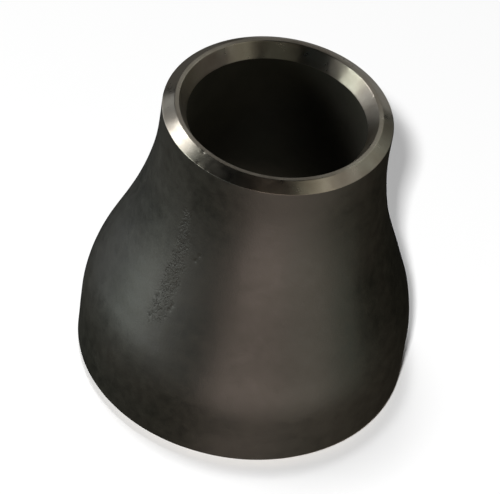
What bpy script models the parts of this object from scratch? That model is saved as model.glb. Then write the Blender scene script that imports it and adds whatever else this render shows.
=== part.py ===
"""Butt-weld concentric pipe reducer, NPS 3 x 2 (DN 80 x 50).

The whole fitting is one seamless steel piece: a length of large pipe whose end was pressed in to the
small size, then both ends were machined for welding. It stands on its large end, with its axis along +Z
and its origin at the centre of the large end's face. Run with blender --background --python part.py.
"""

import math

import bpy

# Driving dimensions, in metres and radians.
LARGE_OD = 0.0889
SMALL_OD = 0.0603
LENGTH = 0.0890
LARGE_WALL = 0.00549
NECK_WALL = 0.00655  # the wall thickens as the pipe is pressed in
SMALL_END_BORE = 0.0520  # at the face, opened by the inside taper to suit the small pipe
ROOT_FACE = 0.0011
BEVEL_ANGLE = math.radians(35)  # from the end face
TAPER_ANGLE = math.radians(30)  # from the axis
LARGE_STRAIGHT = 0.0163  # plain cylinder at the large end, its bevel included
SMALL_STRAIGHT = 0.0087  # plain cylinder at the small end, its bevel included
SHOULDER_RADIUS = 0.0420
NECK_RADIUS = 0.1000

# How finely the round shapes are cut into flat facets.
STEPS_ROUND = 72
SHOULDER_SEGMENTS = 6
NECK_SEGMENTS = 8
MERGE_DISTANCE = 0.00001
CRISP_ABOVE = math.radians(20)

COATING_COLOUR = (0.035, 0.034, 0.030, 1.0)
COATING_ROUGHNESS = 0.45
COATING_METALLIC = 0.3


def clear_scene():
    for obj in list(bpy.data.objects):
        bpy.data.objects.remove(obj, do_unlink=True)


def collection_named(name):
    collection = bpy.data.collections.new(name)
    bpy.context.scene.collection.children.link(collection)
    return collection


def coating_material():
    """Dark varnish over the steel."""
    material = bpy.data.materials.new("black_coating")
    material.use_nodes = True
    shader = material.node_tree.nodes["Principled BSDF"]
    shader.inputs["Base Color"].default_value = COATING_COLOUR
    shader.inputs["Roughness"].default_value = COATING_ROUGHNESS
    shader.inputs["Metallic"].default_value = COATING_METALLIC
    return material


def slope_angle():
    """Angle from the axis of the straight flank that touches both the shoulder arc and the neck arc."""
    across = SMALL_OD / 2 + NECK_RADIUS - (LARGE_OD / 2 - SHOULDER_RADIUS)
    along = LENGTH - SMALL_STRAIGHT - LARGE_STRAIGHT
    reach = math.hypot(across, along)
    return math.atan2(along, across) - math.acos((SHOULDER_RADIUS + NECK_RADIUS) / reach)


def flank_points():
    """(radius, height, tilt) down the outside, from the neck arc's top to the shoulder arc's foot.

    The tilt is how far the surface's normal points above level.
    """
    slope = slope_angle()
    neck_top = LENGTH - SMALL_STRAIGHT
    points = []
    for i in range(NECK_SEGMENTS + 1):
        tilt = slope * i / NECK_SEGMENTS
        radius = SMALL_OD / 2 + NECK_RADIUS * (1 - math.cos(tilt))
        points.append((radius, neck_top - NECK_RADIUS * math.sin(tilt), tilt))
    for i in range(SHOULDER_SEGMENTS + 1):
        tilt = slope * (1 - i / SHOULDER_SEGMENTS)
        radius = LARGE_OD / 2 - SHOULDER_RADIUS * (1 - math.cos(tilt))
        points.append((radius, LARGE_STRAIGHT + SHOULDER_RADIUS * math.sin(tilt), tilt))
    return points


def wall_at(height):
    """Wall thickness: the pipe's own at the large end, growing evenly over the pressed part."""
    pressed = (height - LARGE_STRAIGHT) / (LENGTH - SMALL_STRAIGHT - LARGE_STRAIGHT)
    return LARGE_WALL + (NECK_WALL - LARGE_WALL) * pressed


def inner_flank():
    """The outside flank carried inwards along its normals by the wall thickness, from top to bottom."""
    points = []
    for radius, height, tilt in flank_points():
        wall = wall_at(height)
        points.append((radius - wall * math.cos(tilt), height - wall * math.sin(tilt)))
    return points


def section():
    """The wall's closed outline in the XZ half plane: down the outside, then back up the inside."""
    neck_bore = SMALL_OD / 2 - NECK_WALL
    small_root = SMALL_END_BORE / 2
    large_root = LARGE_OD / 2 - LARGE_WALL
    small_bevel = (SMALL_OD / 2 - small_root - ROOT_FACE) * math.tan(BEVEL_ANGLE)
    large_bevel = (LARGE_WALL - ROOT_FACE) * math.tan(BEVEL_ANGLE)
    taper = (small_root - neck_bore) / math.tan(TAPER_ANGLE)
    outside = [(small_root + ROOT_FACE, LENGTH), (SMALL_OD / 2, LENGTH - small_bevel)]
    outside += [(radius, height) for radius, height, _ in flank_points()]
    outside += [(LARGE_OD / 2, large_bevel), (large_root + ROOT_FACE, 0.0)]
    inside = [(large_root, 0.0)]
    inside += reversed(inner_flank())
    inside += [(neck_bore, LENGTH - taper), (small_root, LENGTH)]
    return outside + inside


def turned(name, outline, material, collection):
    """A closed outline in the XZ plane swept once round Z, shaded smooth between its crisp edges."""
    count = len(outline)
    wire = bpy.data.meshes.new(name + "_outline")
    wire.from_pydata(
        [(radius, 0.0, height) for radius, height in outline],
        [(i, (i + 1) % count) for i in range(count)],
        [],
    )
    obj = bpy.data.objects.new(name, wire)
    collection.objects.link(obj)
    screw = obj.modifiers.new("Turn", "SCREW")
    screw.axis = "Z"
    screw.angle = 2 * math.pi
    screw.steps = STEPS_ROUND
    screw.render_steps = STEPS_ROUND
    screw.use_merge_vertices = True
    screw.merge_threshold = MERGE_DISTANCE
    graph = bpy.context.evaluated_depsgraph_get()
    mesh = bpy.data.meshes.new_from_object(obj.evaluated_get(graph))
    obj.modifiers.clear()
    obj.data = mesh
    bpy.data.meshes.remove(wire)
    mesh.name = name
    mesh.shade_smooth()
    mesh.set_sharp_from_angle(angle=CRISP_ABOVE)
    mesh.materials.append(material)
    return obj


def main():
    clear_scene()
    parts = collection_named("concentric_reducer")
    turned("reducer_body", section(), coating_material(), parts)


main()
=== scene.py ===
"""The looks of a butt-weld concentric pipe reducer, DN 80 x 50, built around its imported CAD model.

The fitting is one piece of steel, so its visual model is one closed mesh: the CAD section turned again with
true arcs and eased edges, then marked as a handled fitting is. The pressed wall waves a little, an old
corroded streak runs down it, and the turned ends carry a few nicks. Metres, +Z up, large end on the floor.
"""

import functools
import math

import bmesh
import bpy
import numpy as np
from mathutils import Matrix, Vector


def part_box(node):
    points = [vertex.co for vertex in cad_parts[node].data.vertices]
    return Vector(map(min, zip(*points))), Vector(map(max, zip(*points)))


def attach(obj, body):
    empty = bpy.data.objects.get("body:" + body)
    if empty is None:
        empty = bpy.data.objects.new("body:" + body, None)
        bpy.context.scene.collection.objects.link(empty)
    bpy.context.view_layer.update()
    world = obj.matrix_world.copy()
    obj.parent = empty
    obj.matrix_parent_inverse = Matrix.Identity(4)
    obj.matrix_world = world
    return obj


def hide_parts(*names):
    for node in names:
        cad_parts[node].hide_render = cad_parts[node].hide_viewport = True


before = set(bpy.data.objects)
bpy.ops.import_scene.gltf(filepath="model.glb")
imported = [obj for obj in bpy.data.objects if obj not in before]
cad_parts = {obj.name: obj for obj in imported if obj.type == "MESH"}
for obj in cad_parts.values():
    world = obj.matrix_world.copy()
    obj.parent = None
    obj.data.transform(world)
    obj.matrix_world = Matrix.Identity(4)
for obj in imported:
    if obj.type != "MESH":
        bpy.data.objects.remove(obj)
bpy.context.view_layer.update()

# The section's dimensions, as in the CAD model. The large radius and the length are read off the imported
# CAD part's box.
LARGE_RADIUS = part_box("reducer_body")[1].x
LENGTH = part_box("reducer_body")[1].z
SMALL_RADIUS = 0.03015
LARGE_WALL = 0.00549
NECK_WALL = 0.00655
LARGE_ROOT_RADIUS = LARGE_RADIUS - LARGE_WALL
SMALL_ROOT_RADIUS = 0.0260
NECK_BORE = SMALL_RADIUS - NECK_WALL
ROOT_FACE = 0.0011
BEVEL_ANGLE = math.radians(35)
TAPER_ANGLE = math.radians(30)
LARGE_BEVEL = (LARGE_WALL - ROOT_FACE) * math.tan(BEVEL_ANGLE)
SMALL_BEVEL = (SMALL_RADIUS - SMALL_ROOT_RADIUS - ROOT_FACE) * math.tan(BEVEL_ANGLE)
TAPER_DEPTH = (SMALL_ROOT_RADIUS - NECK_BORE) / math.tan(TAPER_ANGLE)
LARGE_STRAIGHT = 0.0163
SMALL_STRAIGHT = 0.0087
PRESSED_LENGTH = LENGTH - SMALL_STRAIGHT - LARGE_STRAIGHT
SHOULDER_RADIUS = 0.0420
NECK_RADIUS = 0.1000

# How finely the visual mesh is cut. The patches that hold small marks are cut finer still.
COLUMNS = 360
PITCH = 0.0010
INSIDE_PITCH = 0.0022
EASED_EDGE = 0.00014
GUARD = 1.8  # how far the points that guard an eased edge stand off, in eased edges
PATCH_CUTS = 4

# The finishes, numbered as the mesh's materials are: varnish outside, the lathe's cuts, the bare bore.
VARNISHED, TURNED, BARE = range(3)

# The pressed wall's waves: a slightly oval section, and ripples, each given as (wavelength, height).
# They grow and fade over a share of the length, and are gone where the small end is turned.
OVAL_HEIGHT = 0.00005
OVAL_TURN = 0.7
OVAL_TWIST = 1.1
RIPPLES = ((0.026, 0.00006), (0.009, 0.000010), (0.0045, 0.000004))
WAVES_PER_RIPPLE = 28
WAVES_END = 0.96
WAVES_FADE = 0.12

# The corroded streak. Angles go round +Z from +X, and 270 degrees faces the camera.
STREAK_ANGLE = math.radians(231.0)
STREAK_SPREAD = math.radians(8.5)
STREAK_LOW, STREAK_HIGH = 0.036, 0.071
STREAK_TOP_SHARE = 0.25  # how wide it is at the top, as a share of its spread
STREAK_WIDENING = 0.018  # the drop in height that widens it by its full spread
STREAK_PITS = 300
PIT_REACH = (0.00018, 0.00036)
PIT_DEPTH_SHARE = (-0.06, 0.08)  # of its reach; a pit of negative depth is a blister
RUST_REACH = 0.0008
RUST_PER_PIT = 0.28
PATCH_MARGIN = 0.002
PATCH_BEFORE, PATCH_AFTER = math.radians(1.5), math.radians(14)

# Each stray pit is (degrees, height).
STRAY_PITS = ((244.5, 0.0599), (243.0, 0.0580), (239.5, 0.0434), (239.0, 0.0420))
STRAY_REACH = 0.0005
STRAY_DEPTH = 0.0001

# Each nick is (degrees, radius, height, reach, depth), on an edge of the small end.
NICKS = (
    (233.0, SMALL_RADIUS, LENGTH - SMALL_BEVEL, 0.0007, 0.00005),
    (239.0, SMALL_RADIUS, LENGTH - SMALL_BEVEL, 0.0005, 0.00004),
    (231.0, SMALL_ROOT_RADIUS + ROOT_FACE, LENGTH, 0.0006, 0.00006),
    (5.0, SMALL_ROOT_RADIUS + ROOT_FACE, LENGTH, 0.0004, 0.00006),
    (24.0, SMALL_ROOT_RADIUS, LENGTH, 0.0004, 0.00008),
)

# A nick's patch of finer mesh, in reaches of the nick, and the margin round it.
NICK_PATCH = 2.5
NICK_MARGIN = 0.0005

# The camera's place, as angles about the point it looks at.
CAMERA_TARGET = Vector((-0.00145, 0.0, 0.03814))
CAMERA_DISTANCE = 0.97669
CAMERA_ELEVATION = math.radians(44.02)
CAMERA_ROLL = math.radians(9.63)
CAMERA_LENS = 263.4
SENSOR_WIDTH = 36.0

# The studio.
OBJECT_MIDDLE = Vector((0.0, 0.0, LENGTH / 2))
BOX_DISTANCE = 0.6
GROUND_LIGHT_DISTANCE = 3.0
FLOOR_SIZE = 6.0
FILL_COLOUR = (0.9, 0.95, 1.0, 1)
FILL_STRENGTH = 0.002
WHITE = (1.0, 1.0, 1.0)


def slope_angle():
    """Angle from the axis of the straight flank that touches both the shoulder arc and the neck arc."""
    across = SMALL_RADIUS + NECK_RADIUS - (LARGE_RADIUS - SHOULDER_RADIUS)
    reach = math.hypot(across, PRESSED_LENGTH)
    return math.atan2(PRESSED_LENGTH, across) - math.acos((SHOULDER_RADIUS + NECK_RADIUS) / reach)


@functools.cache
def flank():
    """(radius, height, tilt) down the outside, from the neck arc's top to the shoulder arc's foot.

    The tilt is how far the surface's normal points above level.
    """
    slope = slope_angle()
    points = []
    neck_steps = math.ceil(NECK_RADIUS * slope / PITCH)
    for i in range(neck_steps + 1):
        tilt = slope * i / neck_steps
        radius = SMALL_RADIUS + NECK_RADIUS * (1 - math.cos(tilt))
        points.append((radius, LENGTH - SMALL_STRAIGHT - NECK_RADIUS * math.sin(tilt), tilt))
    shoulder_steps = math.ceil(SHOULDER_RADIUS * slope / PITCH)
    for i in range(shoulder_steps + 1):
        tilt = slope * (1 - i / shoulder_steps)
        radius = LARGE_RADIUS - SHOULDER_RADIUS * (1 - math.cos(tilt))
        points.append((radius, LARGE_STRAIGHT + SHOULDER_RADIUS * math.sin(tilt), tilt))
    return points


def inner_flank():
    """Every second point of the flank, from bottom to top, carried inwards by the wall.

    The wall thickens evenly towards the neck.
    """
    points = []
    for radius, height, tilt in flank()[::-2]:
        pressed = (height - LARGE_STRAIGHT) / PRESSED_LENGTH
        wall = LARGE_WALL + (NECK_WALL - LARGE_WALL) * pressed
        points.append(Vector((radius - wall * math.cos(tilt), height - wall * math.sin(tilt))))
    return points


def eased(before, corner, after):
    """A corner worn to a small round, with a guard point on each side that keeps the faces shading flat."""
    back = (before - corner).normalized() * EASED_EDGE
    on = (after - corner).normalized() * EASED_EDGE
    middle = corner + (back + on) / 4
    return [corner + back * GUARD, corner + back, middle, corner + on, corner + on * GUARD]


def section():
    """The wall's closed outline in the XZ half plane: down the outside, then back up the inside."""
    large_lip = [
        Vector((LARGE_RADIUS, LARGE_BEVEL)),
        Vector((LARGE_ROOT_RADIUS + ROOT_FACE, 0.0)),
        Vector((LARGE_ROOT_RADIUS, 0.0)),
    ]
    small_lip = [
        Vector((NECK_BORE, LENGTH - TAPER_DEPTH)),
        Vector((SMALL_ROOT_RADIUS, LENGTH)),
        Vector((SMALL_ROOT_RADIUS + ROOT_FACE, LENGTH)),
        Vector((SMALL_RADIUS, LENGTH - SMALL_BEVEL)),
    ]
    outside = [Vector((radius, height)) for radius, height, _ in flank()]
    corners = outside + large_lip + inner_flank() + small_lip
    outline = []
    for i, corner in enumerate(corners):
        if corner in large_lip or corner in small_lip:
            outline += eased(corners[i - 1], corner, corners[(i + 1) % len(corners)])
        else:
            outline.append(corner)
    stepped = []
    for start, end in zip(outline, outline[1:] + outline[:1]):
        inside = end.x < flank_radius(end.y) - NECK_WALL / 2
        parts = math.ceil((end - start).length / (INSIDE_PITCH if inside else PITCH))
        stepped += [start.lerp(end, k / parts) for k in range(parts)]
    return stepped


def finish_at(radius, height):
    """The finish of a place on the section: the bevels, root faces and taper are cut on the lathe."""
    cut_depth = SMALL_BEVEL if radius > SMALL_ROOT_RADIUS else TAPER_DEPTH
    in_large_lip = height < LARGE_BEVEL and radius > LARGE_ROOT_RADIUS
    if height > LENGTH - cut_depth or in_large_lip:
        return TURNED
    return BARE if radius < flank_radius(height) - LARGE_WALL / 2 else VARNISHED


def turned_mesh():
    """The section swept round Z as a bmesh, each face with its finish as its material."""
    outline = section()
    middles = [(start + end) / 2 for start, end in zip(outline, outline[1:] + outline[:1])]
    finishes = [finish_at(middle.x, middle.y) for middle in middles]
    mesh = bmesh.new()
    rings = []
    for column in range(COLUMNS):
        angle = 2 * math.pi * column / COLUMNS
        across = Vector((math.cos(angle), math.sin(angle), 0.0))
        rings.append([mesh.verts.new(across * point.x + Vector((0, 0, point.y))) for point in outline])
    for column, ring in enumerate(rings):
        following = rings[(column + 1) % COLUMNS]
        for row in range(len(outline)):
            below = (row + 1) % len(outline)
            face = mesh.faces.new((ring[row], ring[below], following[below], following[row]))
            face.material_index = finishes[row]
            face.smooth = True
    return mesh


def refine(mesh, wanted):
    """Cuts the faces whose middle passes the test into a finer grid, so that they can hold small marks."""
    faces = [face for face in mesh.faces if wanted(face.calc_center_median())]
    edges = list({edge for face in faces for edge in face.edges})
    bmesh.ops.subdivide_edges(mesh, edges=edges, cuts=PATCH_CUTS, use_grid_fill=True)
    for face in mesh.faces:
        face.smooth = True


def place(angle, radius, height):
    """The point at an angle, a radius and a height."""
    return Vector((radius * math.cos(angle), radius * math.sin(angle), height))


def flank_radius(height):
    """Outside radius at a height, read off the flank's points."""
    points = sorted((z, r) for r, z, _ in flank())
    return float(np.interp(height, [z for z, _ in points], [r for _, r in points]))


def pits():
    """(place, reach, depth) of each corrosion pit: a streak that widens downwards, and a few strays."""
    draw = np.random.default_rng(11)
    found = []
    for _ in range(STREAK_PITS):
        height = STREAK_LOW + (STREAK_HIGH - STREAK_LOW) * draw.beta(1.3, 1.5)
        width = min(1.0, STREAK_TOP_SHARE + (STREAK_HIGH - height) / STREAK_WIDENING)
        angle = STREAK_ANGLE + STREAK_SPREAD * width * draw.beta(1.2, 1.6)
        reach = draw.uniform(*PIT_REACH)
        depth = reach * draw.uniform(*PIT_DEPTH_SHARE)
        found.append((place(angle, flank_radius(height), height), reach, depth))
    for degrees, height in STRAY_PITS:
        centre = place(math.radians(degrees), flank_radius(height), height)
        found.append((centre, STRAY_REACH, STRAY_DEPTH))
    return found


def nicks():
    """(place, reach, depth) of each nick on the small end's edges."""
    return [
        (place(math.radians(degrees), radius, height), reach, depth)
        for degrees, radius, height, reach, depth in NICKS
    ]


def ripple(points, wavelength, draw):
    """A smooth random field over the points, about 1 high, from waves of one length in every direction."""
    field = np.zeros(len(points))
    for _ in range(WAVES_PER_RIPPLE):
        heading = draw.normal(size=3)
        heading *= 2 * math.pi / wavelength / np.linalg.norm(heading)
        field += np.cos(points @ heading + draw.uniform(0, 2 * math.pi))
    return field / math.sqrt(WAVES_PER_RIPPLE / 2)


def waves(points):
    """How far the pressed wall stands off its true form: nothing at the end faces, most on the cone."""
    draw = np.random.default_rng(5)
    angle = np.arctan2(points[:, 1], points[:, 0])
    height = points[:, 2] / LENGTH
    lift = OVAL_HEIGHT * np.cos(2 * angle + OVAL_TURN + OVAL_TWIST * height)
    for wavelength, size in RIPPLES:
        lift += size * ripple(points, wavelength, draw)
    growing = np.clip(height / WAVES_FADE, 0, 1)
    fading = np.clip((WAVES_END - height) / WAVES_FADE, 0, 1)
    return lift * growing * fading


def mound(points, centre, reach):
    """A smooth mound over the points, 1 high at its centre and about a third of that one reach away."""
    away = np.linalg.norm(points - np.array(centre), axis=1)
    return np.exp(-((away / reach) ** 2))


def mark(mesh):
    """Moves the vertices for the waves, pits and nicks, and stores how pitted each is for the varnish."""
    mesh.normal_update()
    mesh.verts.ensure_lookup_table()
    points = np.array([v.co for v in mesh.verts])
    normals = np.array([v.normal for v in mesh.verts])
    drop = -waves(points)
    for centre, reach, depth in pits() + nicks():
        drop += depth * mound(points, centre, reach)
    pitted = sum(RUST_PER_PIT * mound(points, centre, RUST_REACH) for centre, _, _ in pits())
    moved = points - normals * drop[:, None]
    layer = mesh.verts.layers.float.new("pitted")
    for vertex, co, value in zip(mesh.verts, moved, np.minimum(pitted, 1.0)):
        vertex.co = co
        vertex[layer] = value


def in_streak(co):
    """Whether a point is on the outside where the streak and the stray pits are."""
    angle = math.atan2(co.y, co.x) % (2 * math.pi)
    beside = STREAK_ANGLE - PATCH_BEFORE < angle < STREAK_ANGLE + PATCH_AFTER
    level = STREAK_LOW - PATCH_MARGIN < co.z < STREAK_HIGH + PATCH_MARGIN
    return beside and level and math.hypot(co.x, co.y) > flank_radius(co.z) - LARGE_WALL / 2


def in_nick(co):
    """Whether a point is close to a nick."""
    return any((co - centre).length < NICK_PATCH * reach + NICK_MARGIN for centre, reach, _ in nicks())


def body_mesh():
    """The whole fitting as a marked bmesh."""
    mesh = turned_mesh()
    refine(mesh, in_streak)
    refine(mesh, in_nick)
    mark(mesh)
    return mesh


class Nodes:
    """A new material, and short names for building its node tree."""

    def __init__(self, name):
        self.material = bpy.data.materials.new(name)
        self.material.use_nodes = True
        self.tree = self.material.node_tree
        self.shader = self.tree.nodes["Principled BSDF"]
        self.where = self.add("ShaderNodeTexCoord").outputs["Object"]

    def add(self, kind, inputs=None, **settings):
        """A node with its settings. Each input takes a value or another node's output."""
        node = self.tree.nodes.new(kind)
        for key, value in settings.items():
            setattr(node, key, value)
        for key, value in (inputs or {}).items():
            if isinstance(value, bpy.types.NodeSocket):
                self.tree.links.new(value, node.inputs[key])
            else:
                node.inputs[key].default_value = value
        return node

    def math(self, operation, *values):
        return self.add("ShaderNodeMath", dict(enumerate(values)), operation=operation).outputs[0]

    def noise(self, scale, detail, roughness, vector=None):
        """Noise over the object, or over the vector. The scale is in features per metre."""
        where = self.where if vector is None else vector
        inputs = {"Vector": where, "Scale": scale, "Detail": detail, "Roughness": roughness}
        return self.add("ShaderNodeTexNoise", inputs).outputs["Fac"]

    def span(self, value, low, high, to_low=0.0, to_high=1.0):
        """The value carried from one range to another, and held at its ends."""
        inputs = {0: value, 1: low, 2: high, 3: to_low, 4: to_high}
        return self.add("ShaderNodeMapRange", inputs).outputs[0]

    def blend(self, factor, first, second):
        inputs = {0: factor, 6: first, 7: second}
        return self.add("ShaderNodeMix", inputs, data_type="RGBA").outputs[2]

    def bump(self, height, distance, strength, onto=None):
        """Relief of a height field, in metres, on the surface or on other relief."""
        inputs = {"Height": height, "Distance": distance, "Strength": strength}
        if onto is not None:
            inputs["Normal"] = onto
        return self.add("ShaderNodeBump", inputs).outputs[0]

    def link(self, value, name):
        """Leads a node's output to one of the shader's inputs."""
        self.tree.links.new(value, self.shader.inputs[name])

    def set(self, **values):
        """Sets the shader's inputs that are the same all over."""
        for name, value in values.items():
            self.shader.inputs[name.replace("_", " ")].default_value = value


def coating_material():
    """Thin varnish on mill-finish steel: nearly black, clouded with brown, satin with a fine grain."""
    green_black, brown_black = (0.0145, 0.0145, 0.0115, 1), (0.0225, 0.0202, 0.0164, 1)
    worn, pitted_black = (0.030, 0.029, 0.022, 1), (0.004, 0.004, 0.003, 1)
    nodes = Nodes("varnished_steel")
    clouds = nodes.noise(38.0, 3.0, 0.55)
    mottle = nodes.noise(330.0, 4.0, 0.6)
    grain = nodes.noise(1900.0, 2.0, 0.6)

    # Corrosion shows as dark specks, in patches, where the surface is pitted.
    pitted = nodes.add("ShaderNodeAttribute", attribute_name="pitted").outputs["Fac"]
    patches = nodes.span(nodes.noise(420.0, 2.0, 0.6), 0.25, 0.55)
    dots = nodes.span(nodes.noise(1500.0, 2.0, 0.6), 0.46, 0.62)
    specks = nodes.math("MULTIPLY", nodes.math("MULTIPLY", pitted, patches), dots)

    colour = nodes.blend(nodes.span(clouds, 0.38, 0.62), green_black, brown_black)
    colour = nodes.blend(nodes.span(mottle, 0.35, 0.7, 0.0, 0.6), colour, worn)
    colour = nodes.blend(nodes.math("MULTIPLY", specks, 0.25), colour, pitted_black)
    nodes.link(colour, "Base Color")

    dull = nodes.span(clouds, 0.3, 0.7, 0.37, 0.45)
    dull = nodes.math("ADD", dull, nodes.span(mottle, 0.3, 0.7, -0.03, 0.05))
    dull = nodes.math("ADD", dull, nodes.math("MULTIPLY", specks, 0.12))
    nodes.link(dull, "Roughness")

    relief = nodes.bump(mottle, 0.00008, 0.6)
    relief = nodes.bump(grain, 0.00003, 0.5, relief)
    relief = nodes.bump(nodes.math("SUBTRACT", 1.0, specks), 0.00012, 0.65, relief)
    nodes.link(relief, "Normal")
    nodes.set(Metallic=0.0, IOR=1.6, Specular_IOR_Level=0.5)
    return nodes.material


def steel_material():
    """Bare steel off the lathe: fine rings round the axis stretch every reflection across them."""
    clean, stained, ring_shade = (0.50, 0.47, 0.415, 1), (0.40, 0.355, 0.30, 1), (0.34, 0.32, 0.28, 1)
    nodes = Nodes("turned_steel")
    axes = nodes.add("ShaderNodeSeparateXYZ", {0: nodes.where}).outputs
    flat = nodes.add("ShaderNodeCombineXYZ", {0: axes[0], 1: axes[1]}).outputs[0]
    radius = nodes.add("ShaderNodeVectorMath", {0: flat}, operation="LENGTH").outputs["Value"]
    radius_and_height = nodes.add("ShaderNodeCombineXYZ", {0: radius, 1: axes[2]}).outputs[0]
    rings = nodes.noise(9000.0, 2.0, 0.6, radius_and_height)
    stain = nodes.noise(160.0, 4.0, 0.6)
    scuffs = nodes.noise(450.0, 2.0, 0.5)

    colour = nodes.blend(nodes.span(stain, 0.35, 0.7), clean, stained)
    colour = nodes.blend(nodes.span(rings, 0.3, 0.7, 0.0, 0.25), colour, ring_shade)
    nodes.link(colour, "Base Color")

    dull = nodes.span(stain, 0.3, 0.7, 0.26, 0.34)
    dull = nodes.math("ADD", dull, nodes.span(scuffs, 0.3, 0.7, -0.02, 0.05))
    nodes.link(dull, "Roughness")

    tangent = nodes.add("ShaderNodeTangent", direction_type="RADIAL", axis="Z").outputs[0]
    nodes.link(tangent, "Tangent")
    nodes.link(nodes.bump(rings, 0.000012, 0.4), "Normal")
    nodes.set(Metallic=1.0, Anisotropic=0.85, Anisotropic_Rotation=0.25)
    return nodes.material


def bore_material():
    """Mill scale inside the pipe: dull and brown-grey."""
    dark, pale = (0.050, 0.049, 0.039, 1), (0.072, 0.068, 0.054, 1)
    nodes = Nodes("mill_scale")
    clouds = nodes.noise(60.0, 4.0, 0.6)
    nodes.link(nodes.blend(nodes.span(clouds, 0.35, 0.65), dark, pale), "Base Color")
    nodes.link(nodes.bump(nodes.noise(500.0, 3.0, 0.6), 0.00008, 0.5), "Normal")
    nodes.set(Roughness=0.55)
    return nodes.material


def reducer():
    """The fitting's one piece, with its three finishes."""
    mesh = body_mesh()
    data = bpy.data.meshes.new("reducer_body_surface")
    mesh.to_mesh(data)
    mesh.free()
    finishes = {VARNISHED: coating_material(), TURNED: steel_material(), BARE: bore_material()}
    for number in sorted(finishes):
        data.materials.append(finishes[number])
    piece = bpy.data.objects.new("reducer_body_surface", data)
    bpy.context.scene.collection.objects.link(piece)
    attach(piece, "root")
    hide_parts("reducer_body")
    return piece


def direction(azimuth, elevation):
    """Unit vector from the object. Azimuth 0 is towards -Y, the camera's side, and 90 is towards +X."""
    a, e = math.radians(azimuth), math.radians(elevation)
    return Vector((math.sin(a) * math.cos(e), -math.cos(a) * math.cos(e), math.sin(e)))


def soft_box(name, azimuth, elevation, size, radiance, colour=WHITE, distance=BOX_DISTANCE):
    """A rectangular studio light that faces the object's middle. Its size is its width and its height."""
    light = bpy.data.lights.new(name, "AREA")
    light.shape = "RECTANGLE"
    width, height = size
    light.size = width
    light.size_y = height
    light.energy = radiance * math.pi * width * height
    light.color = colour
    lamp = bpy.data.objects.new(name, light)
    towards = direction(azimuth, elevation)
    lamp.location = OBJECT_MIDDLE + towards * distance
    lamp.rotation_euler = towards.to_track_quat("Z", "Y").to_euler()
    lamp.visible_camera = False
    bpy.context.scene.collection.objects.link(lamp)
    return lamp


def lit_only(name, target, lamps):
    """Keeps the lamps' light on one object."""
    receivers = bpy.data.collections.new(name)
    receivers.objects.link(target)
    for lamp in lamps:
        lamp.light_linking.receiver_collection = receivers


def lights(fitting, ground):
    """Soft boxes that the varnish and the steel reflect, and two lights that cast the floor's shadow."""
    on_fitting = [
        # Cool daylight from the left, which the left flank and the bevel's bright stretch reflect.
        soft_box("left_window", -79, 5, (0.27, 0.42), 3.45, (0.93, 1.0, 0.91)),
        soft_box("left_window_low", -58, -1, (0.22, 0.25), 2.25, (1.0, 1.0, 0.95)),
        soft_box("left_wall", -114, 1, (0.43, 0.40), 1.22, (0.96, 0.99, 1.0)),
        soft_box("left_high_window", -104, 37, (0.20, 0.24), 5.4),
        # Glows in front. The warm, low one makes the brown band down the middle.
        soft_box("front_glow", 7, -14, (0.44, 0.42), 2.45, (1.0, 0.81, 0.70)),
        soft_box("front_foot_glow", 16, -48, (0.44, 0.30), 0.22, (1.0, 0.92, 0.8)),
        soft_box("front_left_glow", -32, -8, (0.30, 0.42), 0.22, (0.8, 1.0, 1.0)),
        soft_box("front_fill", 8, 19, (0.38, 0.24), 0.15, (1.0, 1.0, 0.80)),
        # The right side darkens towards the edge.
        soft_box("right_glow", 45, -15, (0.32, 0.42), 1.65, (1.0, 0.90, 0.75)),
        soft_box("far_right_glow", 72, -12, (0.22, 0.42), 0.60, (0.9, 1.0, 0.80)),
        soft_box("right_side", 100, 15, (0.25, 0.25), 0.10, (1.0, 0.8, 0.72)),
        # Dim walls, which the turned end and its taper reflect.
        soft_box("right_wall", 55, 42, (0.25, 0.42), 0.55, (1.0, 0.97, 0.78)),
        soft_box("right_far_wall", 80, 42, (0.32, 0.42), 0.32, (1.0, 0.91, 0.83)),
        soft_box("back_right_wall", 130, 42, (0.50, 0.42), 0.41, (0.98, 1.0, 0.87)),
        soft_box("back_low_wall", 168, 3, (0.42, 0.40), 0.32, (1.0, 1.0, 0.96)),
        soft_box("back_wall", 180, 44, (0.40, 0.30), 0.30, (1.0, 0.98, 0.92)),
        soft_box("back_left_wall", -155, 4, (0.32, 0.48), 0.10, (1.0, 0.96, 0.90)),
        # A little light comes up the bore.
        soft_box("below", 0, -88, (0.20, 0.20), 0.12, (0.96, 1.0, 0.72)),
    ]
    lit_only("on_the_fitting", fitting, on_fitting)
    far = GROUND_LIGHT_DISTANCE
    on_ground = [
        soft_box("ground_front", -6.8, 45.5, (0.15, 0.12), 1640.0, distance=far),
        soft_box("ground_back", -128, 77, (0.8, 0.8), 22.3, distance=far),
    ]
    lit_only("on_the_ground", ground, on_ground)


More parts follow.
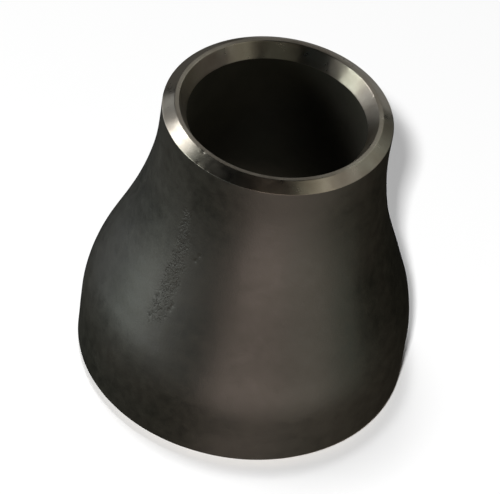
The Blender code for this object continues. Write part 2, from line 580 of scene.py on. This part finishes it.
def surroundings():
    """Pale all round as seen, and dim as a source of light, so that the dark varnish keeps its depth."""
    world = bpy.data.worlds.new("pale_studio")
    world.use_nodes = True
    bpy.context.scene.world = world
    tree = world.node_tree
    tree.nodes.clear()
    seen = tree.nodes.new("ShaderNodeBackground")
    seen.inputs["Color"].default_value = (1, 1, 1, 1)
    fill = tree.nodes.new("ShaderNodeBackground")
    fill.inputs["Color"].default_value = FILL_COLOUR
    fill.inputs["Strength"].default_value = FILL_STRENGTH
    path = tree.nodes.new("ShaderNodeLightPath")
    mix = tree.nodes.new("ShaderNodeMixShader")
    out = tree.nodes.new("ShaderNodeOutputWorld")
    tree.links.new(path.outputs["Is Camera Ray"], mix.inputs[0])
    tree.links.new(fill.outputs[0], mix.inputs[1])
    tree.links.new(seen.outputs[0], mix.inputs[2])
    tree.links.new(mix.outputs[0], out.inputs[0])


def floor():
    """A pale floor, which throws no light back on the varnish."""
    bpy.ops.mesh.primitive_plane_add(size=FLOOR_SIZE)
    plane = bpy.context.object
    plane.name = "pale_floor"
    material = bpy.data.materials.new("pale_floor")
    material.use_nodes = True
    shader = material.node_tree.nodes["Principled BSDF"]
    shader.inputs["Base Color"].default_value = (0.85, 0.85, 0.85, 1)
    shader.inputs["Roughness"].default_value = 0.9
    shader.inputs["Specular IOR Level"].default_value = 0.0
    plane.data.materials.append(material)
    plane.visible_glossy = False
    plane.visible_diffuse = False
    plane.visible_shadow = False
    return plane


def camera():
    """The camera, on the -Y side, looking down and rolled so that the fitting leans to the right."""
    tilt, roll = CAMERA_ELEVATION, CAMERA_ROLL
    back = Vector((0, -math.cos(tilt), math.sin(tilt)))
    right, up = Vector((1, 0, 0)), Vector((0, math.sin(tilt), math.cos(tilt)))
    across = right * math.cos(roll) + up * math.sin(roll)
    upward = up * math.cos(roll) - right * math.sin(roll)
    data = bpy.data.cameras.new("camera")
    data.lens = CAMERA_LENS
    data.sensor_width = SENSOR_WIDTH
    data.clip_start = 0.05
    data.clip_end = 20.0
    shot = bpy.data.objects.new("camera", data)
    turn = Matrix((across, upward, back)).transposed().to_4x4()
    shot.matrix_world = Matrix.Translation(CAMERA_TARGET + back * CAMERA_DISTANCE) @ turn
    bpy.context.scene.collection.objects.link(shot)
    bpy.context.scene.camera = shot


def main():
    bpy.context.scene.view_settings.view_transform = "Standard"
    lights(reducer(), floor())
    surroundings()
    camera()


main()
